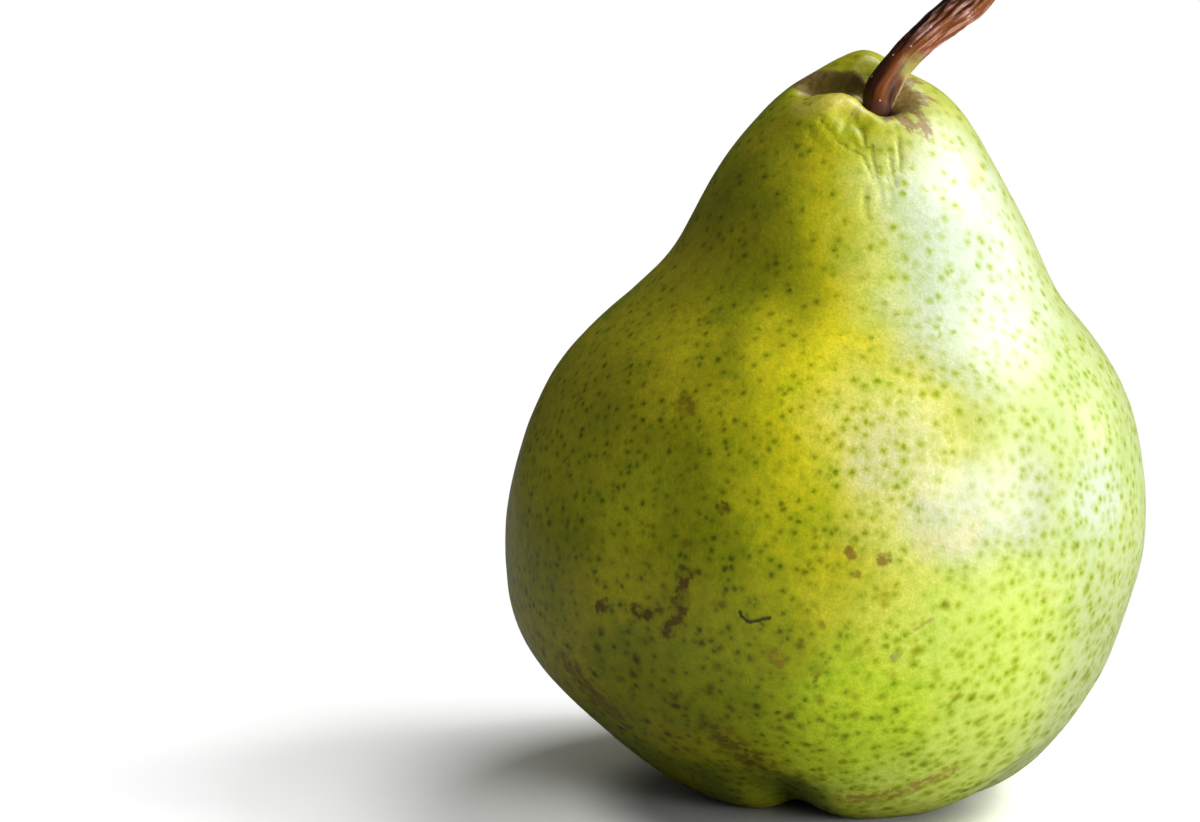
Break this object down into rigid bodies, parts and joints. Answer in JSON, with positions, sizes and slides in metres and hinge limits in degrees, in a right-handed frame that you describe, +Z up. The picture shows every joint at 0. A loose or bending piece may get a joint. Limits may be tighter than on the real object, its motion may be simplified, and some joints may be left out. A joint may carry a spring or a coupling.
{
  "type": "pear",
  "caption": "Plump green pear standing on the lobes of its base, with a leaning neck, a curved woody stem in a hollow of the crown and a dried calyx in the base.",
  "frame": {"origin": "on the surface the pear stands on, under the middle of its bounding box", "axes": "+Z up, along the core; -Y is the front; +X is the side that the neck and the stem lean to"},
  "size_m": [0.08, 0.0776, 0.1047],
  "materials": {
    "skin": null,
    "stem_wood": "woody stem, reddish brown, wrinkled lengthwise, semi-gloss",
    "dried_sepal": "dried brown sepals, matt and papery"
  },
  "bodies": {
    "root": {"fruit": "skin", "stem": "stem_wood", "calyx": "dried_sepal"}
  },
  "joints": []
}
